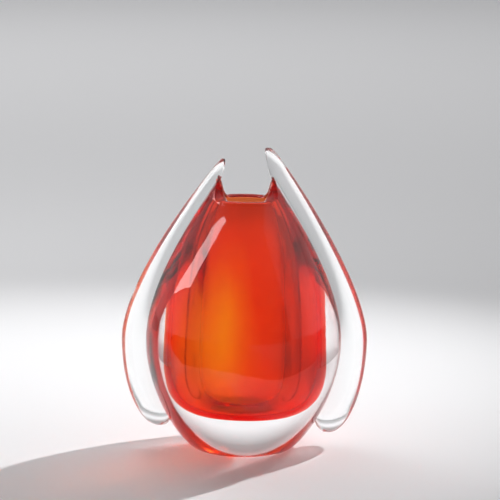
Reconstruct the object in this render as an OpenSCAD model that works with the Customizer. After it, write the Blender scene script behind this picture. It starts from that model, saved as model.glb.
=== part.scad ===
// Cased art glass vase with two applied wings.
// Millimetres, +Z up, the origin at the middle of the foot. The front faces -Y.
// A red over amber vessel sits inside a thick colourless casing. A solid colourless
// wing runs down each side: a horn above the mouth, a free rounded lobe at the bottom.

/* [Body] */
// Width of the body at its widest, without the wings
body_w = 194; // [170:1:220]
// Depth of the body, front to back, as a share of its width
depth_ratio = 0.92; // [0.86:0.01:0.98]
// How much deeper the body's right half is than its middle, as a share of the depth
side_bulge = 0.045; // [0:0.005:0.06]
// The same share for the outside of the neck, just under the lip
neck_ratio = 0.66; // [0.65:0.01:0.7]
// Height of the widest part above the foot
belly_z = 108; // [95:1:120]
// Height at which the slope of the shoulder reaches the wall of the mouth
crown_z = 276; // [270:1:285]
// Angle by which the body leans to the right, from handwork
lean = 1; // [0:0.1:2]

/* [Mouth] */
// Width of the mouth, inside the lining
mouth_w = 51; // [44:1:56]
// Height of the lip at the front and back
rim_z = 250; // [244:1:256]
// Radius of the lip's corners, where it turns up into the horns
rim_corner_r = 9; // [6:0.5:12]

/* [Coloured vessel] */
// Width of the red layer at its widest
core_w = 111; // [100:1:118]
// Depth of the red layer at its widest, as a share of its width
core_ratio = 1.15; // [1.05:0.01:1.2]
// Depth of the mouth, as a share of its width
mouth_ratio = 0.75; // [0.7:0.01:0.78]
// Thickness of the clear foot under the red layer
foot_t = 43; // [34:1:48]
// Thickness of the red layer
overlay_t = 2.5; // [1.5:0.1:3.5]
// Thickness of the amber lining
lining_t = 2; // [1:0.1:3]

/* [Wings] */
// Distance of the outer edge of each wing from the middle, left and right
wing_reach = [120.5, 122.5]; // [112:0.5:126]
// Height of the tip of each horn, left and right
horn_z = [288.5, 300]; // [284:0.5:306]
// Height of the lowest point of each lobe, left and right
lobe_z = [19.5, 15]; // [12:0.5:24]
// Distance of the lowest point of each lobe from the middle, left and right
lobe_x = [82.5, 86]; // [78:0.5:90]
// Front to back thickness of a wing at the lobe
wing_low_t = 32; // [24:1:38]
// Front to back thickness of a wing at the mouth
wing_high_t = 20; // [14:1:24]
// Depth to which a wing's round section would run on inside the body
wing_bite = 8; // [5:1:12]

/* [Hidden] */

body_r = body_w / 2;
core_r = core_w / 2;
mouth_r = mouth_w / 2;
neck_r = mouth_r + lining_t + overlay_t;
// The body's outline starts this far below the foot, and the foot is then ground flat
foot_trim = 2;
// Half width of the body's outline where it starts, and at the top end of the shoulder's slope
foot_r = 0.475 * body_r;
crown_r = 24;
// Lower curve of the body's outline, as shares of its half width and of the belly's height:
// where it turns up from the foot, and where its side starts to pull in
heel_pull = [0.68, 0.075];
side_pull_z = 0.555;
// Upper curve, as shares of the half width and of the height from the belly to the crown:
// where the side starts to turn in, and where the slope of the shoulder is set
turn_pull_z = 0.3;
slope_pull = [0.66, 0.64];
// How late the sections change into those of the neck: the power of their share
shoulder_power = 4.2;
// The red layer is at its widest just under the belly
core_belly_z = belly_z - 4;
// Lower curve of the coloured vessel: how far its flat floor pulls out, and its bottom corner up
core_floor_pull = 0.8;
core_corner_pull = 8;
// Upper curve: how far the side pulls up, and where the shoulder turns in to the mouth
core_side_pull = 66;
core_shoulder_pull = 0.9;
core_shoulder_drop = 42;
// Room taken by the cutting shapes beyond the glass
clear_of_glass = 60;
// How much wider the gap between the horns is than the mouth, on each side
notch_room = 0.5;
// Depth under the crown at which a wing's seat turns into the inner face of its horn
horn_face_drop = 4;
// Steps along each curve, and round the body
curve_steps = 10;
turn_steps = 40;

// Wings: heights over which the two ends are rounded
lobe_round = 20;
tip_round = 5;
// Height above which a wing is joined to the body
join_z = 40;
// How far a lobe's round bottom pulls out, and in
lobe_out_pull = 21;
lobe_in_pull = 12;
// Where a lobe's inner side pulls in to the join: its share of the join's height, and how far inside it
lobe_side_pull = 0.65;
lobe_side_in = 1;
// Outer edge of a wing: shares of the belly's height at which it starts to turn in, below and above
wing_pull_low = 0.57;
wing_pull_high = 1.4;
// Where its upper part is set, as shares of the body's half width and of the horn's height
horn_pull = [0.78, 0.785];
// How far outside the crown's half width a horn's tip ends
horn_out = 1;
// How far the inner face of a horn leans in, up to its tip
horn_lean = 7;
// A hair's width between the facets of a wing and those of the body
seat_gap = 0.05;
// The middle of a wing's ring stays at least this far outside its seat
ring_room = 0.5;
// Points round a wing, and rings at each end and between the ends
wing_ring = 24;
wing_end_steps = 6;
wing_mid_steps = 30;

// A point of the cubic curve through four control points
function on_curve(c, t) =
    pow(1 - t, 3) * c[0] + 3 * pow(1 - t, 2) * t * c[1] + 3 * (1 - t) * pow(t, 2) * c[2] + pow(t, 3) * c[3];

// The points of a curve, without its last one
function curve_points(c) = [for (i = [0 : curve_steps - 1]) on_curve(c, i / curve_steps)];

// Where a rising curve is at height z, from 0 to 1, found by halving
function place_at(c, z, low = 0, high = 1, turns = 24) =
    let (mid = (low + high) / 2)
    turns == 0 ? mid
    : on_curve(c, mid).y < z ? place_at(c, z, mid, high, turns - 1)
    : place_at(c, z, low, mid, turns - 1);

// Half width of a rising curve at height z
function width_at(c, z) = on_curve(c, place_at(c, z)).x;

// Outline of the body: foot to belly, and belly to the end of the shoulder
body_lower = [
    [foot_r, -foot_trim],
    [heel_pull.x * body_r, heel_pull.y * belly_z],
    [body_r, side_pull_z * belly_z],
    [body_r, belly_z],
];
body_upper = [
    [body_r, belly_z],
    [body_r, belly_z + turn_pull_z * (crown_z - belly_z)],
    [slope_pull.x * body_r, belly_z + slope_pull.y * (crown_z - belly_z)],
    [crown_r, crown_z],
];

function body_half_width(z) = z < belly_z ? width_at(body_lower, z) : width_at(body_upper, z);

// Height at which the shoulder's slope has half width r, found by halving
function slope_z(r, low = belly_z, high = crown_z, turns = 24) =
    let (mid = (low + high) / 2)
    turns == 0 ? mid
    : body_half_width(mid) > r ? slope_z(r, mid, high, turns - 1)
    : slope_z(r, low, mid, turns - 1);

// 0 up to the belly, 1 at the rim, growing so late that the front stays rounded outward
function shoulder_share(z) =
    pow(min(1, max(0, (z - belly_z) / (rim_z - belly_z))), shoulder_power);

// The body's depth as a share of its width: narrower at the neck, then that of the mouth
function body_ratio(z) =
    let (over = (z - rim_z) / (slope_z(neck_r) - rim_z))
    over < 0 ? depth_ratio + (neck_ratio - depth_ratio) * shoulder_share(z)
    : neck_ratio + (mouth_ratio - neck_ratio) * min(1, over);

// How much deeper the body's right half is, dying out at the rim
function bulge_at(z) = side_bulge * (1 - shoulder_share(z));

// The coloured vessel's depth as a share of its width
function core_ratio_at(z) = core_ratio + (mouth_ratio - core_ratio) * shoulder_share(z);

// Outside of the body, from the foot up to where the slope meets the red layer
function body_points() =
    let (top_z = slope_z(neck_r), top = place_at(body_upper, top_z))
    [for (p = concat(
        curve_points(body_lower),
        [for (i = [0 : 2 * curve_steps - 1]) on_curve(body_upper, top * i / (2 * curve_steps))]
    )) [p.x, p.y, body_ratio(p.y), bulge_at(p.y)]];

// A surface of the coloured vessel, set in from the outside of the red layer, from its floor
// up to the shoulder's slope
function core_points(inset) =
    let (r = core_r - inset,
        floor_z = foot_t + inset,
        mouth = neck_r - inset,
        low = [[0, floor_z], [core_floor_pull * r, floor_z],
            [r, floor_z + core_corner_pull], [r, core_belly_z]],
        high = [[r, core_belly_z], [r, core_belly_z + core_side_pull],
            [core_shoulder_pull * r, rim_z - core_shoulder_drop], [mouth, rim_z]])
    [for (p = concat(curve_points(low), curve_points(high), [[mouth, rim_z], [mouth, slope_z(mouth)]]))
        [p.x, p.y, core_ratio_at(p.y), 0]];

function reversed(list) = [for (i = [len(list) - 1 : -1 : 0]) list[i]];

// A closed solid with level oval sections. Each point of the outline gives a half width, a height,
// a share of depth to width, and how much deeper the right half is. The outline starts and ends
// on the axis, up the outside and down the inside.
module oval_solid(outline) {
    count = len(outline) - 2;
    rings = [for (k = [1 : count], i = [0 : turn_steps - 1])
        let (turn = 360 * i / turn_steps, p = outline[k])
        [p[0] * cos(turn), p[0] * p[2] * (1 + p[3] * cos(turn)) * sin(turn), p[1]]];
    first = [0, 0, outline[0][1]];
    last = [0, 0, outline[count + 1][1]];
    first_i = count * turn_steps;
    top = (count - 1) * turn_steps;
    polyhedron(
        points = concat(rings, [first, last]),
        faces = concat(
            [for (k = [0 : count - 2], i = [0 : turn_steps - 1])
                each let (j = (i + 1) % turn_steps, a = k * turn_steps, b = a + turn_steps)
                    [[a + i, b + i, a + j], [a + j, b + i, b + j]]],
            [for (i = [0 : turn_steps - 1]) [first_i, i, (i + 1) % turn_steps]],
            [for (i = [0 : turn_steps - 1]) [first_i + 1, top + (i + 1) % turn_steps, top + i]]
        ),
        convexity = 6
    );
}

module leaning() {
    rotate([0, lean, 0]) children();
}

// What is cut away between the horns, above the lip
module mouth_notch() {
    notch_r = mouth_r + notch_room;
    flat_r = notch_r - rim_corner_r;
    depth = body_w;
    top_z = crown_z + clear_of_glass;
    for (side = [-1, 1])
        translate([side * flat_r, 0, rim_z + rim_corner_r])
            rotate([90, 0, 0]) cylinder(r = rim_corner_r, h = depth, center = true, $fn = 48);
    translate([-flat_r, -depth / 2, rim_z]) cube([2 * flat_r, depth, top_z - rim_z]);
    translate([-notch_r, -depth / 2, rim_z + rim_corner_r])
        cube([2 * notch_r, depth, top_z - rim_z - rim_corner_r]);
}

// What the wheel grinds away below the foot
module below_foot() {
    translate([-body_w, -body_w, -clear_of_glass]) cube([2 * body_w, 2 * body_w, clear_of_glass]);
}

module inner_lining() {
    color([0.95, 0.55, 0.08, 0.6]) leaning() difference() {
        oval_solid(concat(core_points(overlay_t), reversed(core_points(overlay_t + lining_t))));
        mouth_notch();
    }
}

module colour_overlay() {
    color([0.85, 0.08, 0.05, 0.7]) leaning() difference() {
        oval_solid(concat(core_points(0), reversed(core_points(overlay_t))));
        mouth_notch();
    }
}

module clear_casing() {
    color([0.93, 0.95, 0.96, 0.35]) difference() {
        leaning() difference() {
            oval_solid(concat([[0, -foot_trim]], body_points(), reversed(core_points(0))));
            mouth_notch();
        }
        below_foot();
    }
}

// Half width of the wing's seat at height z: the body's side, then the inner face of the horn
function seat_half_width(z) =
    let (face_z = crown_z - horn_face_drop, face_r = body_half_width(face_z))
    z < face_z ? body_half_width(z) : face_r - horn_lean * (z - face_z) / (horn_z[1] - face_z);

// Distance of the seat from the middle at depth y, side 0 left and side 1 right
function seat_x(side, y, z) =
    let (r = seat_half_width(z) + seat_gap,
        deeper = side == 0 ? 1 - bulge_at(z) : 1 + bulge_at(z),
        share = y / (r * body_ratio(z) * deeper))
    r * sqrt(max(0, 1 - share * share));

// Outer edge of a wing, side 0 left and side 1 right: lobe to belly, and belly to horn
function wing_lower(side) = [
    [lobe_x[side], lobe_z[side]],
    [lobe_x[side] + lobe_out_pull, lobe_z[side]],
    [wing_reach[side], wing_pull_low * belly_z],
    [wing_reach[side], belly_z],
];
function wing_upper(side) = [
    [wing_reach[side], belly_z],
    [wing_reach[side], wing_pull_high * belly_z],
    [horn_pull.x * body_r, horn_pull.y * horn_z[side]],
    [crown_r + horn_out, horn_z[side]],
];
function wing_outer(side, z) = z < belly_z ? width_at(wing_lower(side), z) : width_at(wing_upper(side), z);

// Inner edge of a wing's round section: the lobe's own side, then a bite inside the body
function lobe_inner(side) = [
    [lobe_x[side], lobe_z[side]],
    [lobe_x[side] - lobe_in_pull, lobe_z[side]],
    [seat_half_width(join_z) - wing_bite - lobe_side_in, lobe_side_pull * join_z],
    [seat_half_width(join_z) - wing_bite, join_z],
];
function wing_inner(side, z) =
    z < join_z ? width_at(lobe_inner(side), z) : seat_half_width(z) - wing_bite;

// 0 at an end, rising to 1 over its rounding
function round_end(distance, rounding) =
    distance >= rounding ? 1 : sqrt(max(0, 1 - pow(1 - distance / rounding, 2)));

// Half of the wing's thickness at height z
function wing_half_t(side, z) =
    let (up = (z - join_z) / (rim_z - join_z))
    (wing_low_t * (1 - up) + wing_high_t * up) / 2
        * round_end(z - lobe_z[side], lobe_round) * round_end(horn_z[side] - z, 4 * tip_round);

// One level ring of a wing
function wing_ring_points(side, z) =
    let (tip = round_end(horn_z[side] - z, tip_round),
        half_t = wing_half_t(side, z),
        out_x = wing_outer(side, z),
        seat = seat_half_width(z),
        in_x = wing_inner(side, z),
        tip_x = (max(in_x, seat) + out_x) / 2,
        outer = tip_x + (out_x - tip_x) * tip,
        inner = tip_x + (in_x - tip_x) * tip,
        mid = max((outer + inner) / 2, seat_x(side, half_t, z) + ring_room))
    [for (i = [0 : wing_ring - 1])
        let (turn = 360 * i / wing_ring,
            y = half_t * sin(turn),
            free_x = cos(turn) >= 0 ? mid + (outer - mid) * cos(turn) : mid + (mid - inner) * cos(turn))
        [max(free_x, seat_x(side, y, z)), y, z]];

// Heights of the rings: close together at both round ends
function wing_heights(side) =
    let (z0 = lobe_z[side], z1 = horn_z[side])
    concat(
        [for (i = [1 : wing_end_steps]) z0 + lobe_round * (1 - cos(90 * i / wing_end_steps))],
        [for (i = [1 : wing_mid_steps])
            z0 + lobe_round + (z1 - z0 - lobe_round - tip_round) * i / (wing_mid_steps + 1)],
        [for (i = [wing_end_steps : -1 : 1]) z1 - tip_round * (1 - cos(90 * i / wing_end_steps))]
    );

module wing(side) {
    heights = wing_heights(side);
    rings = [for (z = heights) wing_ring_points(side, z)];
    count = len(rings);
    low = [lobe_x[side], 0, lobe_z[side]];
    high_ring = rings[count - 1];
    high = [(high_ring[0].x + high_ring[wing_ring / 2].x) / 2, 0, horn_z[side]];
    points = concat([for (ring = rings) each ring], [low, high]);
    low_i = count * wing_ring;
    high_i = low_i + 1;
    faces = concat(
        [for (k = [0 : count - 2], i = [0 : wing_ring - 1])
            each let (j = (i + 1) % wing_ring, a = k * wing_ring, b = a + wing_ring)
                [[a + i, b + i, a + j], [a + j, b + i, b + j]]],
        [for (i = [0 : wing_ring - 1]) [low_i, i, (i + 1) % wing_ring]],
        [for (i = [0 : wing_ring - 1])
            [high_i, (count - 1) * wing_ring + (i + 1) % wing_ring, (count - 1) * wing_ring + i]]
    );
    polyhedron(points = points, faces = faces, convexity = 6);
}

module left_wing() {
    color([0.90, 0.94, 0.95, 0.35]) leaning() mirror([1, 0, 0]) wing(0);
}

module right_wing() {
    color([0.90, 0.94, 0.95, 0.35]) leaning() wing(1);
}

inner_lining();
colour_overlay();
clear_casing();
left_wing();
right_wing();
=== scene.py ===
import math

import bpy
from mathutils import Matrix, Vector


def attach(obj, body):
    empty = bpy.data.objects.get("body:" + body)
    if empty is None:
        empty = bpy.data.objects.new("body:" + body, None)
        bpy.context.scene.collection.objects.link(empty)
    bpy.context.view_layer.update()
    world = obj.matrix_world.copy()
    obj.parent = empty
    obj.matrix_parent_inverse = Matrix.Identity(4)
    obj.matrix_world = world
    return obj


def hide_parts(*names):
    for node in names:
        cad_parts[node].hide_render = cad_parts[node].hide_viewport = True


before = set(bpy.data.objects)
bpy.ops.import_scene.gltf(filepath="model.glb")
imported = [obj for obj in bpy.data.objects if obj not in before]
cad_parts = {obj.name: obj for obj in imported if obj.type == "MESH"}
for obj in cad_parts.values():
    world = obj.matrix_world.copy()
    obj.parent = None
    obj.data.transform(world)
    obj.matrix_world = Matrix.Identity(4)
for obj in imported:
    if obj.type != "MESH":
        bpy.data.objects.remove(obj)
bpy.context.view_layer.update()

MM = 0.001

# Driving dimensions of the vase, in millimetres, the same as the CAD model's
BODY_W = 194
DEPTH_RATIO = 0.92
SIDE_BULGE = 0.045
NECK_RATIO = 0.66
BELLY_Z = 108
CROWN_Z = 276
LEAN_DEG = 1
MOUTH_W = 51
RIM_Z = 250
RIM_CORNER_R = 9
CORE_W = 111
CORE_RATIO = 1.15
MOUTH_RATIO = 0.75
FOOT_T = 43
OVERLAY_T = 2.5
LINING_T = 2
# The wings' reach is 0.1 mm less than the CAD's, so that their fine sections stay inside its box
WING_REACH = (120.4, 122.4)
HORN_Z = (288.5, 300)
LOBE_Z = (19.5, 15)
LOBE_X = (82.5, 86)
WING_LOW_T = 32
WING_HIGH_T = 20
WING_BITE = 8

# Values that follow from them
BODY_R = BODY_W / 2
CORE_R = CORE_W / 2
MOUTH_R = MOUTH_W / 2
NECK_R = MOUTH_R + LINING_T + OVERLAY_T
WALL_INSET = OVERLAY_T + LINING_T
# Half width of the body's outline where it starts, under the foot
FOOT_R = 0.475 * BODY_R
# The red layer is at its widest just under the belly
CORE_BELLY_Z = BELLY_Z - 4

# The body's outline starts this far below the foot, and ends at this half width at the crown
FOOT_TRIM = 2
CROWN_R = 24
# Its lower curve: where it turns up from the foot, and where its side starts to pull in
HEEL_PULL = (0.68, 0.075)
SIDE_PULL_Z = 0.555
# Its upper curve: where the side starts to turn in, and where the slope of the shoulder is set
TURN_PULL_Z = 0.3
SLOPE_PULL = (0.66, 0.64)
# How late the sections change into those of the neck: the power of their share
SHOULDER_POWER = 4.2
# Lower curve of the coloured vessel: how far its floor pulls out, and its bottom corner up
CORE_FLOOR_PULL = 0.8
CORE_CORNER_PULL = 8
# Its upper curve: how far the side pulls up, and where the shoulder turns in to the mouth
CORE_SIDE_PULL = 66
CORE_SHOULDER_PULL = 0.9
CORE_SHOULDER_DROP = 42
# How much wider the gap between the horns is than the mouth, on each side
NOTCH_ROOM = 0.5
# The fine sections stay this far inside the CAD's coarser ones, front and back
DEPTH_TUCK = 0.3

# Wings: heights over which the two ends are rounded, and above which a wing is joined to the body
LOBE_ROUND = 20
TIP_ROUND = 5
JOIN_Z = 40
# How far a lobe's round bottom pulls out, and in
LOBE_OUT_PULL = 21
LOBE_IN_PULL = 12
# Where a lobe's inner side pulls in to the join: its share of the join's height, and how far inside
LOBE_SIDE_PULL = 0.65
LOBE_SIDE_IN = 1
# Outer edge of a wing: shares of the belly's height at which it starts to turn in, below and above
WING_PULL_LOW = 0.57
WING_PULL_HIGH = 1.4
# Where its upper part is set, as shares of the body's half width and of the horn's height
HORN_PULL = (0.78, 0.785)
# How far outside the crown a horn's tip ends, and how far its inner face leans in, up to the tip
HORN_OUT = 1
HORN_LEAN = 7
# Height over which a horn thins out towards its tip
HORN_THIN = 4 * TIP_ROUND
# Depth under the crown at which a wing's seat turns into the inner face of its horn
HORN_FACE_DROP = 4
# How far the wings sink into the body's side, as hot glass does
SEAT_SINK = 1.5
# The middle of a wing's ring stays at least this far outside its seat
RING_ROOM = 0.5

# Lip of each shell: how far below the lip's line its sides stop, and how far it rounds up over them
CASING_LIP = (3, 3)
OVERLAY_LIP = (3.2, 1.5)
LINING_LIP = (3.8, 0.8)
# How far the red layer stops short of the lining, and the lining short of the hollow
OVERLAY_GAP = 0.1
LINING_GAP = 0.15
# From this height up, the points of a column are evenly spaced
NECK_Z = RIM_Z - 14

# Halvings of a span that find a place on a curve to a millionth of a millimetre or so
HALVINGS = 26
# Fineness of the meshes
ROUND_STEPS = 192
CURVE_STEPS = 40
NECK_STEPS = 16
LIP_STEPS = 8
WING_RING = 56
LOBE_STEPS = 16
WING_STEPS = 110
TIP_STEPS = 10


# ---------------------------------------------------------------- curves

def on_curve(curve, t):
    """A point of the cubic curve through four control points."""
    weights = ((1 - t) ** 3, 3 * (1 - t) ** 2 * t, 3 * (1 - t) * t * t, t ** 3)
    return [sum(w * p[axis] for w, p in zip(weights, curve)) for axis in (0, 1)]


def last_place(holds, low, high):
    """The place between low and high up to which holds(place) is true, found by halving."""
    for _ in range(HALVINGS):
        middle = (low + high) / 2
        if holds(middle):
            low = middle
        else:
            high = middle
    return (low + high) / 2


def place_at(curve, z):
    """Where a rising curve is at height z, from 0 to 1."""
    return last_place(lambda t: on_curve(curve, t)[1] < z, 0.0, 1.0)


def width_at(curve, z):
    """Half width of a rising curve at height z."""
    return on_curve(curve, place_at(curve, z))[0]


BODY_LOWER = (
    (FOOT_R, -FOOT_TRIM),
    (HEEL_PULL[0] * BODY_R, HEEL_PULL[1] * BELLY_Z),
    (BODY_R, SIDE_PULL_Z * BELLY_Z),
    (BODY_R, BELLY_Z),
)
BODY_UPPER = (
    (BODY_R, BELLY_Z),
    (BODY_R, BELLY_Z + TURN_PULL_Z * (CROWN_Z - BELLY_Z)),
    (SLOPE_PULL[0] * BODY_R, BELLY_Z + SLOPE_PULL[1] * (CROWN_Z - BELLY_Z)),
    (CROWN_R, CROWN_Z),
)


def body_half_width(z):
    """Half width of the body, from its foot to its crown."""
    return width_at(BODY_LOWER if z < BELLY_Z else BODY_UPPER, z)


def slope_z(half_width):
    """Height at which the shoulder's slope has this half width."""
    return last_place(lambda z: body_half_width(z) > half_width, BELLY_Z, CROWN_Z)


HORN_FOOT_Z = slope_z(NECK_R)


def shoulder_share(z):
    """0 up to the belly, 1 at the rim, growing so late that the front stays rounded outward."""
    up = min(1.0, max(0.0, (z - BELLY_Z) / (RIM_Z - BELLY_Z)))
    return up ** SHOULDER_POWER


def body_ratio(z):
    """The body's depth as a share of its width at height z."""
    over = (z - RIM_Z) / (HORN_FOOT_Z - RIM_Z)
    if over < 0:
        return DEPTH_RATIO + (NECK_RATIO - DEPTH_RATIO) * shoulder_share(z)
    return NECK_RATIO + (MOUTH_RATIO - NECK_RATIO) * min(1, over)


def side_bulge(z):
    """How much deeper the body's right half is than its middle, dying out at the rim."""
    return SIDE_BULGE * (1 - shoulder_share(z))


def core_ratio(z):
    """The coloured vessel's depth as a share of its width at height z."""
    return CORE_RATIO + (MOUTH_RATIO - CORE_RATIO) * shoulder_share(z)


def core_curves(inset):
    """The two curves of a surface of the coloured vessel, set in from its outside."""
    r = CORE_R - inset
    floor_z = FOOT_T + inset
    lower = (
        (0, floor_z),
        (CORE_FLOOR_PULL * r, floor_z),
        (r, floor_z + CORE_CORNER_PULL),
        (r, CORE_BELLY_Z),
    )
    upper = (
        (r, CORE_BELLY_Z),
        (r, CORE_BELLY_Z + CORE_SIDE_PULL),
        (CORE_SHOULDER_PULL * r, RIM_Z - CORE_SHOULDER_DROP),
        (NECK_R - inset, RIM_Z),
    )
    return lower, upper


def core_half_width(inset, z):
    """Half width of a surface of the coloured vessel. Above the rim it runs straight up."""
    lower, upper = core_curves(inset)
    if z >= RIM_Z:
        return NECK_R - inset
    return width_at(lower if z < CORE_BELLY_Z else upper, z)


def spaced(start, end, steps):
    """Evenly spaced values from start, without the end itself."""
    return [start + (end - start) * i / steps for i in range(steps)]


# ---------------------------------------------------------------- meshes

LEAN = Matrix.Rotation(math.radians(LEAN_DEG), 3, "Y")


def leaned(point):
    """A point given in millimetres about the body's own axis, in metres in the frame."""
    placed = LEAN @ Vector(point)
    placed.z = max(placed.z, 0.0)
    return placed * MM


def mesh_object(name, vertices, faces):
    """A smooth-shaded object in the scene."""
    mesh = bpy.data.meshes.new(name)
    mesh.from_pydata([tuple(v) for v in vertices], [], faces)
    mesh.validate()
    mesh.shade_smooth()
    piece = bpy.data.objects.new(name, mesh)
    bpy.context.scene.collection.objects.link(piece)
    return piece


def columns_to_mesh(name, columns):
    """A closed mesh from upright columns of points that share their first and last points."""
    count = len(columns)
    inner = len(columns[0]) - 2
    vertices = [columns[0][0], columns[0][-1]]
    for column in columns:
        vertices.extend(column[1:-1])
    faces = []
    for c in range(count):
        a = 2 + c * inner
        b = 2 + ((c + 1) % count) * inner
        faces.append((0, b, a))
        for k in range(inner - 1):
            faces.append((a + k, b + k, b + k + 1, a + k + 1))
        faces.append((1, a + inner - 1, b + inner - 1))
    return mesh_object(name, vertices, faces)


# ---------------------------------------------------------------- body and vessel

def core_point(inset, angle, z):
    """A point of the coloured vessel's oval section."""
    half_width = core_half_width(inset, z)
    return (half_width * math.cos(angle), half_width * core_ratio(z) * math.sin(angle), z)


def body_point(angle, z):
    """A point of the body's egg-shaped section."""
    half_width = body_half_width(z)
    depth = (half_width - DEPTH_TUCK) * body_ratio(z) * (1 + side_bulge(z) * math.cos(angle))
    return (half_width * math.cos(angle), depth * math.sin(angle), z)


def notch_half_width(z):
    """Half width of the gap between the horns at height z."""
    widest = MOUTH_R + NOTCH_ROOM
    if z >= RIM_Z + RIM_CORNER_R:
        return widest
    drop = RIM_Z + RIM_CORNER_R - z
    return widest - RIM_CORNER_R + math.sqrt(max(0.0, RIM_CORNER_R ** 2 - drop ** 2))


def lip_height(angle, inner_r):
    """Height of the lip at an angle: low at the front and back, high at the horns."""
    def in_horn(z):
        across = (body_half_width(z) + inner_r) / 2 * abs(math.cos(angle))
        return across > notch_half_width(z)
    return last_place(in_horn, RIM_Z, slope_z(inner_r))


def column_heights(lower, upper, top_z):
    """Heights of a column's points, from its foot up to just under top_z."""
    heights = [on_curve(lower, t)[1] for t in spaced(0.0, 1.0, CURVE_STEPS)]
    heights += [on_curve(upper, t)[1] for t in spaced(0.0, place_at(upper, NECK_Z), CURVE_STEPS)]
    return heights + spaced(NECK_Z, top_z, NECK_STEPS)


def core_column(inset, angle, top_z):
    """Points of a surface of the coloured vessel, from near its floor up to top_z."""
    lower, upper = core_curves(inset)
    return [core_point(inset, angle, z) for z in column_heights(lower, upper, top_z)[1:]]


def body_column(angle, top_z):
    """Points of the outside of the body, from the foot up to top_z."""
    return [body_point(angle, z) for z in column_heights(BODY_LOWER, BODY_UPPER, top_z)]


def lip_arch(outer, inner, rise):
    """Points that round over from the end of one column to the end of another."""
    arch = []
    for i in range(LIP_STEPS + 1):
        turn = math.pi * i / LIP_STEPS
        share = (1 - math.cos(turn)) / 2
        point = [o + (n - o) * share for o, n in zip(outer, inner)]
        point[2] += rise * math.sin(turn)
        arch.append(tuple(point))
    return arch


def shell(name, outer_inset, inner_inset, lip):
    """A closed oval shell. outer_inset None stands for the outside of the body."""
    drop, rise = lip
    inner_r = NECK_R - inner_inset
    columns = []
    for i in range(ROUND_STEPS):
        angle = 2 * math.pi * i / ROUND_STEPS
        top_z = lip_height(angle, inner_r) - drop
        if outer_inset is None:
            column = [(0, 0, -FOOT_TRIM)] + body_column(angle, top_z)
            outer_end = body_point(angle, top_z)
        else:
            column = [(0, 0, FOOT_T + outer_inset)] + core_column(outer_inset, angle, top_z)
            outer_end = core_point(outer_inset, angle, top_z)
        inner_end = core_point(inner_inset, angle, top_z)
        column += lip_arch(outer_end, inner_end, rise)
        column += reversed(core_column(inner_inset, angle, top_z))
        column.append((0, 0, FOOT_T + inner_inset))
        columns.append([leaned(point) for point in column])
    return columns_to_mesh(name, columns)


# ---------------------------------------------------------------- wings

# A wing's side is 0 for the left one and 1 for the right one

def seat_half_width(z):
    """The body's side, then the inner face of the horn."""
    face_z = CROWN_Z - HORN_FACE_DROP
    if z < face_z:
        return body_half_width(z)
    return body_half_width(face_z) - HORN_LEAN * (z - face_z) / (HORN_Z[1] - face_z)


def seat_x(side, y, z):
    """How far out the wing's seat in the body's side is at this y and z."""
    r = seat_half_width(z) - SEAT_SINK
    deeper = 1 - side_bulge(z) if side == 0 else 1 + side_bulge(z)
    share = y / (r * body_ratio(z) * deeper)
    return r * math.sqrt(max(0.0, 1 - share * share))


def wing_outer(side, z):
    """How far out a wing's outer edge is: lobe to belly, then belly to horn."""
    lower = (
        (LOBE_X[side], LOBE_Z[side]),
        (LOBE_X[side] + LOBE_OUT_PULL, LOBE_Z[side]),
        (WING_REACH[side], WING_PULL_LOW * BELLY_Z),
        (WING_REACH[side], BELLY_Z),
    )
    upper = (
        (WING_REACH[side], BELLY_Z),
        (WING_REACH[side], WING_PULL_HIGH * BELLY_Z),
        (HORN_PULL[0] * BODY_R, HORN_PULL[1] * HORN_Z[side]),
        (CROWN_R + HORN_OUT, HORN_Z[side]),
    )
    return width_at(lower if z < BELLY_Z else upper, z)


def wing_inner(side, z):
    """How far out a wing's inner edge would be without its seat: the lobe's side, then a bite."""
    if z >= JOIN_Z:
        return seat_half_width(z) - WING_BITE
    joined = seat_half_width(JOIN_Z) - WING_BITE
    curve = (
        (LOBE_X[side], LOBE_Z[side]),
        (LOBE_X[side] - LOBE_IN_PULL, LOBE_Z[side]),
        (joined - LOBE_SIDE_IN, LOBE_SIDE_PULL * JOIN_Z),
        (joined, JOIN_Z),
    )
    return width_at(curve, z)


def round_end(distance, rounding):
    """0 at an end, rising to 1 over its rounding."""
    if distance >= rounding:
        return 1.0
    return math.sqrt(max(0.0, 1 - (1 - distance / rounding) ** 2))


def wing_half_t(side, z):
    """Half of the wing's thickness, front to back, at height z."""
    up = (z - JOIN_Z) / (RIM_Z - JOIN_Z)
    plain = (WING_LOW_T * (1 - up) + WING_HIGH_T * up) / 2
    low_end = round_end(z - LOBE_Z[side], LOBE_ROUND)
    return plain * low_end * round_end(HORN_Z[side] - z, HORN_THIN)


def wing_ring(side, z):
    """One level ring of a wing: an oval, cut back to its seat in the body's side."""
    sign = -1 if side == 0 else 1
    tip = round_end(HORN_Z[side] - z, TIP_ROUND)
    half_t = wing_half_t(side, z)
    out_x = wing_outer(side, z)
    in_x = wing_inner(side, z)
    tip_x = (max(in_x, seat_half_width(z)) + out_x) / 2
    outer = tip_x + (out_x - tip_x) * tip
    inner = tip_x + (in_x - tip_x) * tip
    middle = max((outer + inner) / 2, seat_x(side, half_t, z) + RING_ROOM)
    ring = []
    for i in range(WING_RING):
        turn = 2 * math.pi * i / WING_RING
        y = half_t * math.sin(turn)
        across = outer - middle if math.cos(turn) >= 0 else middle - inner
        x = max(middle + across * math.cos(turn), seat_x(side, y, z))
        ring.append((sign * x, sign * y, z))
    return ring


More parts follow.
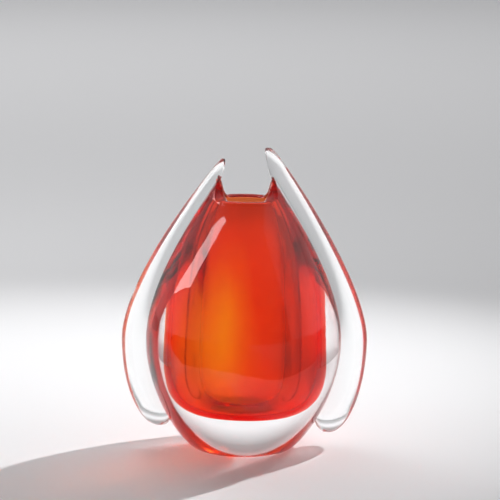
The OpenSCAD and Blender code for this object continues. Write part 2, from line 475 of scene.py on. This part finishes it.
def wing_heights(side):
    """Heights of the rings: close together at both round ends."""
    low, high = LOBE_Z[side], HORN_Z[side]
    lobe = [LOBE_ROUND * (1 - math.cos(math.pi / 2 * i / LOBE_STEPS)) for i in range(1, LOBE_STEPS + 1)]
    tip = [TIP_ROUND * (1 - math.cos(math.pi / 2 * i / TIP_STEPS)) for i in range(TIP_STEPS, 0, -1)]
    heights = [low + rise for rise in lobe]
    heights += spaced(low + LOBE_ROUND, high - TIP_ROUND, WING_STEPS)[1:]
    return heights + [high - drop for drop in tip]


def wing(name, side):
    """A closed wing, from the lowest point of its lobe to the tip of its horn."""
    sign = -1 if side == 0 else 1
    rings = [wing_ring(side, z) for z in wing_heights(side)]
    top = rings[-1]
    low = (sign * LOBE_X[side], 0, LOBE_Z[side])
    high = ((top[0][0] + top[WING_RING // 2][0]) / 2, 0, HORN_Z[side])
    columns = []
    for i in range(WING_RING):
        column = [low] + [ring[i] for ring in rings] + [high]
        columns.append([leaned(point) for point in column])
    return columns_to_mesh(name, columns)


# ---------------------------------------------------------------- nodes that materials share

def new_material(name):
    material = bpy.data.materials.new(name)
    material.use_nodes = True
    material.node_tree.nodes.clear()
    return material, material.node_tree.nodes, material.node_tree.links


def object_place(nodes):
    """Places in the object's own space, in metres."""
    return nodes.new("ShaderNodeTexCoord").outputs["Object"]


def split_place(nodes, links):
    """Places in the object's own space, split into X, Y and Z."""
    split = nodes.new("ShaderNodeSeparateXYZ")
    links.new(object_place(nodes), split.inputs[0])
    return split


def noise(nodes, links, scale, detail, stretch=(1, 1, 1)):
    """A noise pattern laid out in the object's own space."""
    mapping = nodes.new("ShaderNodeMapping")
    mapping.inputs["Scale"].default_value = stretch
    texture = nodes.new("ShaderNodeTexNoise")
    texture.inputs["Scale"].default_value = scale
    texture.inputs["Detail"].default_value = detail
    links.new(object_place(nodes), mapping.inputs["Vector"])
    links.new(mapping.outputs["Vector"], texture.inputs["Vector"])
    return texture.outputs["Fac"]


def ramp(nodes, links, factor, stops):
    """A colour ramp through (place, colour) stops."""
    node = nodes.new("ShaderNodeValToRGB")
    elements = node.color_ramp.elements
    while len(elements) < len(stops):
        elements.new(0.5)
    for element, (place, colour) in zip(elements, stops):
        element.position = place
        element.color = (*colour, 1)
    links.new(factor, node.inputs["Fac"])
    return node.outputs["Color"]


def grey(level):
    """A grey with the faintest blue in it."""
    return (level, level, level * 1.02)


def grey_ramp(nodes, links, factor, stops):
    """A ramp of greys through (place, level) stops."""
    return ramp(nodes, links, factor, [(place, grey(level)) for place, level in stops])


def remap(nodes, links, value, old, new):
    """A value carried over from the old range to the new one, and kept inside it."""
    node = nodes.new("ShaderNodeMapRange")
    node.inputs["From Min"].default_value = old[0]
    node.inputs["From Max"].default_value = old[1]
    node.inputs["To Min"].default_value = new[0]
    node.inputs["To Max"].default_value = new[1]
    links.new(value, node.inputs["Value"])
    return node.outputs["Result"]


def mixed(nodes, links, factor, first, second=None):
    """A blend of two colours. With no second one it runs from the first to white."""
    node = nodes.new("ShaderNodeMix")
    node.data_type = "RGBA"
    node.inputs["B"].default_value = (1, 1, 1, 1)
    links.new(factor, node.inputs["Factor"])
    links.new(first, node.inputs["A"])
    if second is not None:
        links.new(second, node.inputs["B"])
    return node.outputs["Result"]


def ripple(nodes, links, glass, wave, strength):
    """Waves of up to a millimetre in a surface that stays smooth otherwise."""
    bump = nodes.new("ShaderNodeBump")
    bump.inputs["Strength"].default_value = strength
    bump.inputs["Distance"].default_value = MM
    links.new(wave, bump.inputs["Height"])
    links.new(bump.outputs[0], glass.inputs["Normal"])


def clear_principled(nodes, ior):
    glass = nodes.new("ShaderNodeBsdfPrincipled")
    glass.inputs["Transmission Weight"].default_value = 1
    glass.inputs["IOR"].default_value = ior
    return glass


def finish_glass(material, glass, lamp_way, body=None):
    """Let the lamps' light through along a straight way, so that the shadow isn't black."""
    nodes = material.node_tree.nodes
    links = material.node_tree.links
    path = nodes.new("ShaderNodeLightPath")
    mix = nodes.new("ShaderNodeMixShader")
    output = nodes.new("ShaderNodeOutputMaterial")
    links.new(path.outputs["Is Shadow Ray"], mix.inputs["Fac"])
    links.new(glass.outputs[0], mix.inputs[1])
    links.new(lamp_way.outputs[0], mix.inputs[2])
    links.new(mix.outputs[0], output.inputs["Surface"])
    if body is not None:
        links.new(body.outputs[0], output.inputs["Volume"])


# ---------------------------------------------------------------- materials of the vase

# Tints of thick clear glass, between which it drifts
CLEAR_TINTS = ((0.3, (0.97, 0.985, 0.98)), (0.7, (1, 1, 1)))
# What a clear face lets through of a lamp's light, straight on and at its edge
LAMP_TINTS = ((0.1, (0.5, 0.5, 0.5)), (0.9, (0.08, 0.08, 0.08)))
# Up to the first of these heights, in metres, the ground foot lets all of that light through,
# and above the second it dims it as any other face does
FOOT_GLOW = (0.0005, 0.003)


def clear_glass(name, rippling, haze, wave_scale, wave_stretch):
    """Thick clear glass: a breath of green, faint waves and a hair of wear in its polish."""
    material, nodes, links = new_material(name)
    glass = clear_principled(nodes, 1.5)
    tone = noise(nodes, links, 18, 2, (1, 1, 0.5))
    links.new(ramp(nodes, links, tone, CLEAR_TINTS), glass.inputs["Base Color"])
    wear = noise(nodes, links, 60, 3)
    links.new(remap(nodes, links, wear, (0.45, 0.75), haze), glass.inputs["Roughness"])
    ripple(nodes, links, glass, noise(nodes, links, wave_scale, 2, wave_stretch), rippling)
    lamp_way = nodes.new("ShaderNodeBsdfTransparent")
    facing = nodes.new("ShaderNodeLayerWeight")
    facing.inputs["Blend"].default_value = 0.35
    dim = ramp(nodes, links, facing.outputs["Facing"], LAMP_TINTS)
    foot = remap(nodes, links, split_place(nodes, links).outputs["Z"], FOOT_GLOW, (1, 0))
    links.new(mixed(nodes, links, foot, dim), lamp_way.inputs["Color"])
    finish_glass(material, glass, lamp_way)
    return material


# The middle of the glow of light painted into the coloured glass's colour, in metres
PAINTED_GLOW_SPOT = (-0.022, 0, 0.112)
# Colour towards which light turns on its way through the coloured glass
DEPTH_TINT = (0.97, 0.32, 0.16)


def colour_glass(name, painted_glow_tint, deep, spread, lamp, density):
    """A coloured layer inside the wall, with painted light in its colour: a painted glow of yellower tint
    around a spot, deep away from it, in soft streaks of its own tone.

    It is fused to the clear glass on both sides, so its faces bend no light."""
    material, nodes, links = new_material(name)
    glass = clear_principled(nodes, 1.0)
    mapping = nodes.new("ShaderNodeMapping")
    mapping.inputs["Location"].default_value = [-c / s for c, s in zip(PAINTED_GLOW_SPOT, spread)]
    mapping.inputs["Scale"].default_value = [1 / s for s in spread]
    away = nodes.new("ShaderNodeVectorMath")
    away.operation = "LENGTH"
    links.new(object_place(nodes), mapping.inputs["Vector"])
    links.new(mapping.outputs["Vector"], away.inputs[0])
    streak = noise(nodes, links, 22, 3, (1, 1, 0.35))
    total = nodes.new("ShaderNodeMath")
    total.operation = "ADD"
    links.new(away.outputs["Value"], total.inputs[0])
    links.new(remap(nodes, links, streak, (0.3, 0.7), (-0.16, 0.16)), total.inputs[1])
    # Painted glow: near the glow spot the colour turns to the glow tint, standing in for light shining
    # through the vessel; the streaks are the glass's own tone
    middle = [(w + d) / 2 for w, d in zip(painted_glow_tint, deep)]
    tint = ramp(nodes, links, total.outputs[0], ((0.15, painted_glow_tint), (0.575, middle), (1.0, deep)))
    links.new(tint, glass.inputs["Base Color"])
    wear = noise(nodes, links, 40, 2)
    links.new(remap(nodes, links, wear, (0.4, 0.8), (0.0, 0.03)), glass.inputs["Roughness"])
    ripple(nodes, links, glass, noise(nodes, links, 30, 2, (1, 1, 0.6)), 0.2)
    lamp_way = nodes.new("ShaderNodeBsdfTransparent")
    lamp_way.inputs["Color"].default_value = (*lamp, 1)
    body = nodes.new("ShaderNodeVolumeAbsorption")
    body.inputs["Color"].default_value = (*DEPTH_TINT, 1)
    body.inputs["Density"].default_value = density
    finish_glass(material, glass, lamp_way, body)
    return material


# ---------------------------------------------------------------- stage

FLOOR_HALF = 9

# Edge of the dark flag nearest the vase, in metres: the pale floor's reflection on the body ends there
FLAG_EDGE = ((-2.0, -0.05), (-0.6, -0.1), (-0.32, -0.15), (-0.2, -0.26), (-0.07, -0.28), (0.02, -0.26),
             (0.1, -0.21), (0.15, -0.19), (0.25, -0.14), (0.38, -0.06), (2.0, 0.0))
# The flag's other corners, past the end of the floor
FLAG_CORNERS = ((9, -1), (9, -9.2), (-9, -9.2), (-9, -1))
FLAG_Z = 0.002
# The flag's levels from left to right, over this stretch of the table
FLAG_SIDES = (-0.3, 0.3)
FLAG_LEVELS = ((0.0, 0.12), (0.5, 0.16), (1.0, 0.4))

# The two long edges of a curved strip softbox, high on the left of the vase, in metres
STRIP_EDGES = (
    ((-0.95, -0.73, 1.88), (-1.45, -0.38, 1.6), (-1.8, -0.05, 1.15), (-1.97, 0.34, 0.63)),
    ((-0.85, -0.8, 1.88), (-1.3, -0.67, 1.62), (-1.6, -0.58, 1.33), (-1.83, -0.47, 1.0)),
)


def only_in_gloss(card):
    """Hide a stage card from everything but the mirror reflections on the glass."""
    card.visible_camera = False
    card.visible_diffuse = False
    card.visible_transmission = False


def make_floor():
    material, nodes, links = new_material("pale_floor")
    surface = nodes.new("ShaderNodeBsdfPrincipled")
    surface.inputs["Base Color"].default_value = (0.9, 0.9, 0.91, 1)
    surface.inputs["Roughness"].default_value = 0.6
    surface.inputs["Specular IOR Level"].default_value = 0.1
    output = nodes.new("ShaderNodeOutputMaterial")
    links.new(surface.outputs[0], output.inputs["Surface"])
    corners = [(FLOOR_HALF * x, FLOOR_HALF * y, 0) for x, y in ((-1, -1), (1, -1), (1, 1), (-1, 1))]
    floor = mesh_object("floor", corners, [(0, 1, 2, 3)])
    floor.data.materials.append(material)


def make_curved_strip():
    """A strip softbox bent round the vase. Its bright bar shows on the front of the glass."""
    material, nodes, links = new_material("strip_softbox")
    surface = nodes.new("ShaderNodeEmission")
    surface.inputs["Strength"].default_value = 7
    output = nodes.new("ShaderNodeOutputMaterial")
    links.new(surface.outputs[0], output.inputs["Surface"])
    low, high = STRIP_EDGES
    count = len(low)
    faces = [(i, i + 1, count + i + 1, count + i) for i in range(count - 1)]
    strip = mesh_object("strip_softbox", low + high, faces)
    strip.data.materials.append(material)
    only_in_gloss(strip)


def make_front_flag():
    """A dark studio flag on the floor before the vase, lighter on the right, seen only in the gloss."""
    material, nodes, links = new_material("dark_flag")
    side = remap(nodes, links, split_place(nodes, links).outputs["X"], FLAG_SIDES, (0, 1))
    surface = nodes.new("ShaderNodeEmission")
    links.new(grey_ramp(nodes, links, side, FLAG_LEVELS), surface.inputs["Color"])
    output = nodes.new("ShaderNodeOutputMaterial")
    links.new(surface.outputs[0], output.inputs["Surface"])
    points = [(x, y, FLAG_Z) for x, y in FLAG_EDGE + FLAG_CORNERS]
    flag = mesh_object("front_flag", points, [tuple(range(len(points)))])
    flag.data.materials.append(material)
    only_in_gloss(flag)
    flag.visible_shadow = False


# ---------------------------------------------------------------- surroundings and camera

# Levels of the surroundings, by how far back they are (0 behind the camera, 1 at the back):
# what lights the floor, what the gloss mirrors, and what shows through the glass
SOFT_WALLS = ((0.08, 0.03), (0.3, 0.22), (0.75, 0.22), (0.92, 0.45))
GLOSS_WALLS = ((0.05, 0.15), (0.3, 0.35), (0.45, 0.8), (0.6, 0.85))
GLASS_WALLS = ((0.0, 0.6), (0.3, 0.7), (0.45, 0.85), (0.6, 0.9))
# The back wall's levels by how high they are, and how far back it takes over
BACK_WALL = ((0.0, 0.5), (0.08, 0.6), (0.18, 1.0), (0.26, 1.0), (0.36, 0.7), (0.47, 0.4), (0.8, 0.3))
BACK_START = (0.5, 0.8)


def make_world():
    """Studio surroundings: dark behind the camera, pale walls, a back wall that fades upward."""
    world = bpy.data.worlds.new("studio")
    bpy.context.scene.world = world
    world.use_nodes = True
    nodes = world.node_tree.nodes
    links = world.node_tree.links
    nodes.clear()
    place = nodes.new("ShaderNodeTexCoord")
    split = nodes.new("ShaderNodeSeparateXYZ")
    links.new(place.outputs["Generated"], split.inputs[0])
    around = remap(nodes, links, split.outputs["Y"], (-1, 1), (0, 1))
    soft = grey_ramp(nodes, links, around, SOFT_WALLS)
    gloss = grey_ramp(nodes, links, around, GLOSS_WALLS)
    glass = grey_ramp(nodes, links, around, GLASS_WALLS)
    back = grey_ramp(nodes, links, split.outputs["Z"], BACK_WALL)
    back_share = remap(nodes, links, split.outputs["Y"], BACK_START, (0, 1))
    path = nodes.new("ShaderNodeLightPath")
    walls = mixed(nodes, links, path.outputs["Is Transmission Ray"], gloss, glass)
    seen = mixed(nodes, links, back_share, walls, back)
    final = mixed(nodes, links, path.outputs["Is Diffuse Ray"], seen, soft)
    background = nodes.new("ShaderNodeBackground")
    output = nodes.new("ShaderNodeOutputWorld")
    links.new(final, background.inputs["Color"])
    links.new(background.outputs[0], output.inputs["Surface"])


CAMERA_PLACE = (0.0084, -2.2, 0.615)
CAMERA_TARGET = (0.0084, 0, 0.198)
CAMERA_LENS = 164


def aimed(holder, position, target):
    """Put a camera or lamp at a position, looking at a target."""
    holder.location = position
    direction = Vector(target) - Vector(position)
    holder.rotation_euler = direction.to_track_quat("-Z", "Y").to_euler()


def make_camera():
    data = bpy.data.cameras.new("camera")
    data.lens = CAMERA_LENS
    data.sensor_width = 36
    camera = bpy.data.objects.new("camera", data)
    bpy.context.scene.collection.objects.link(camera)
    aimed(camera, CAMERA_PLACE, CAMERA_TARGET)
    bpy.context.scene.camera = camera


# ---------------------------------------------------------------- lamps

# Lamps, in metres and watts: the key behind the vase on the right, which throws the shadow
KEY_PLACE = (1.55, 1.4, 1.6)
KEY_TARGET = (-0.5, -0.1, 0)
KEY_POWER = 262
KEY_SPREAD_DEG = 36
KEY_SIZE = 0.04
# Two softboxes that look straight down on the floor: name, place, width and depth, power
SOFTBOXES = (
    ("overhead", (-0.5, 0.8, 1.0), (0.8, 0.8), 3),
    ("far_floor", (-1.0, 3.5, 3.0), (4, 4), 58),
)
# An upright panel to the right of the vase, by its two ends
PANEL_START = (0.62, -0.6, 0.62)
PANEL_END = (1.15, 0.3, 0.62)
PANEL_HEIGHT = 1.1
PANEL_POWER = 0.85
# The point that it faces
PANEL_TARGET = (0, 0, 0.2)


def area_light(name, size, power):
    """A rectangular lamp, not yet placed."""
    data = bpy.data.lights.new(name, "AREA")
    data.shape = "RECTANGLE"
    data.size, data.size_y = size
    data.energy = power
    lamp = bpy.data.objects.new(name, data)
    bpy.context.scene.collection.objects.link(lamp)
    return lamp


def make_key():
    data = bpy.data.lights.new("key", "SPOT")
    data.energy = KEY_POWER
    data.shadow_soft_size = KEY_SIZE
    data.spot_size = math.radians(KEY_SPREAD_DEG)
    data.spot_blend = 1.0
    lamp = bpy.data.objects.new("key", data)
    bpy.context.scene.collection.objects.link(lamp)
    aimed(lamp, KEY_PLACE, KEY_TARGET)


def make_softboxes():
    """They light the floor only, and aren't seen in the glass."""
    for name, place, size, power in SOFTBOXES:
        softbox = area_light(name, size, power)
        aimed(softbox, place, (place[0], place[1], 0))
        softbox.visible_camera = False
        softbox.visible_glossy = False
        softbox.visible_transmission = False


def make_right_panel():
    """A panel from one end to the other, facing the vase."""
    start, end = Vector(PANEL_START), Vector(PANEL_END)
    panel = area_light("right_panel", ((end - start).length, PANEL_HEIGHT), PANEL_POWER)
    middle = (start + end) / 2
    along = (end - start).normalized()
    back = middle - Vector(PANEL_TARGET)
    back = (back - along * back.dot(along)).normalized()
    turn = Matrix((along, back.cross(along), back)).transposed()
    panel.matrix_world = Matrix.Translation(middle) @ turn.to_4x4()
    panel.visible_camera = False
    panel.visible_diffuse = False


# ---------------------------------------------------------------- the vase

def make_casing(clear, hollow):
    """The thick clear glass. Its mesh runs in to the vessel's hollow, whose face is wavier."""
    casing = shell("clear_casing_glass", None, WALL_INSET, CASING_LIP)
    casing.data.materials.append(clear)
    casing.data.materials.append(hollow)
    column_faces = len(casing.data.polygons) // ROUND_STEPS
    outside_faces = 2 * CURVE_STEPS + NECK_STEPS + LIP_STEPS
    for face in casing.data.polygons:
        if face.index % column_faces >= outside_faces:
            face.material_index = 1
    return casing


def make_vase():
    clear = clear_glass("clear_glass", rippling=0.2, haze=(0, 0.012), wave_scale=26, wave_stretch=(1, 1, 1.3))
    hollow = clear_glass("hollow_glass", rippling=0.6, haze=(0.12, 0.2), wave_scale=30,
                         wave_stretch=(1, 1, 0.25))
    wings = clear_glass("wing_glass", rippling=0.2, haze=(0, 0.012), wave_scale=26, wave_stretch=(1, 1, 1.3))
    # The first colour of each coloured layer is a painted glow of light around its glow spot
    red = colour_glass("red_glass", painted_glow_tint=(0.99, 0.8, 0.42), deep=(0.92, 0.33, 0.28),
                       spread=(0.05, 1, 0.085), lamp=(0.9, 0.86, 0.84), density=120)
    amber = colour_glass("amber_glass", painted_glow_tint=(0.99, 0.76, 0.2), deep=(0.98, 0.7, 0.25),
                         spread=(0.07, 1, 0.1), lamp=(1, 0.9, 0.8), density=60)
    casing = make_casing(clear, hollow)
    overlay = shell("colour_overlay_glass", 0, OVERLAY_T - OVERLAY_GAP, OVERLAY_LIP)
    overlay.data.materials.append(red)
    lining = shell("inner_lining_glass", OVERLAY_T, WALL_INSET - LINING_GAP, LINING_LIP)
    lining.data.materials.append(amber)
    left = wing("left_wing_glass", 0)
    left.data.materials.append(wings)
    right = wing("right_wing_glass", 1)
    right.data.materials.append(wings)
    pieces = (
        (casing, "clear_casing", "clear_glass"),
        (overlay, "colour_overlay", "red_glass"),
        (lining, "inner_lining", "amber_glass"),
        (left, "left_wing", "wing_glass"),
        (right, "right_wing", "wing_glass"),
    )
    for piece, node, slot in pieces:
        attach(piece, "root")
        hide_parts(node)


make_camera()
make_world()
make_floor()
make_front_flag()
make_curved_strip()
make_key()
make_softboxes()
make_right_panel()
make_vase()

scene = bpy.context.scene
scene.view_settings.view_transform = "Standard"
scene.cycles.max_bounces = 32
scene.cycles.transmission_bounces = 32
scene.cycles.glossy_bounces = 16
scene.cycles.transparent_max_bounces = 32
